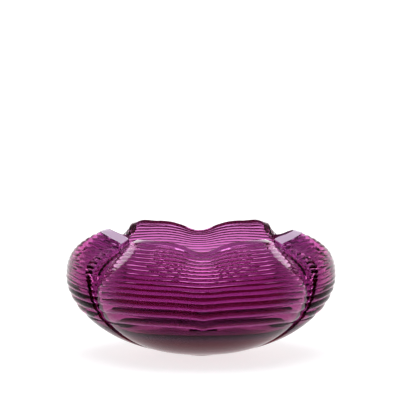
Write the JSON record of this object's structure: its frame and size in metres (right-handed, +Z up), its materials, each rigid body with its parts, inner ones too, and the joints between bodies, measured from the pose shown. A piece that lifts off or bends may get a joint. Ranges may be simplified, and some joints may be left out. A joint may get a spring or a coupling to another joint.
{
  "type": "glass bowl",
  "caption": "Low wide glass bowl with petalled ribbed walls, pleated corners, a wavy flat-ground rim, a thick plain base and a small ground foot.",
  "frame": {"origin": "centre of the underside of the foot", "axes": "+Z up out of the bowl's mouth, -Y towards the front broad petal, +X towards the right narrow petal"},
  "size_m": [0.2504, 0.2484, 0.1166],
  "materials": {
    "violet_glass": "polished"
  },
  "bodies": {
    "root": {"front_petal": "violet_glass", "back_petal": "violet_glass", "right_petal": "violet_glass", "left_petal": "violet_glass", "front_right_pleat": "violet_glass", "front_left_pleat": "violet_glass", "back_right_pleat": "violet_glass", "back_left_pleat": "violet_glass", "bowl_base": "violet_glass", "foot": "violet_glass"}
  },
  "joints": []
}
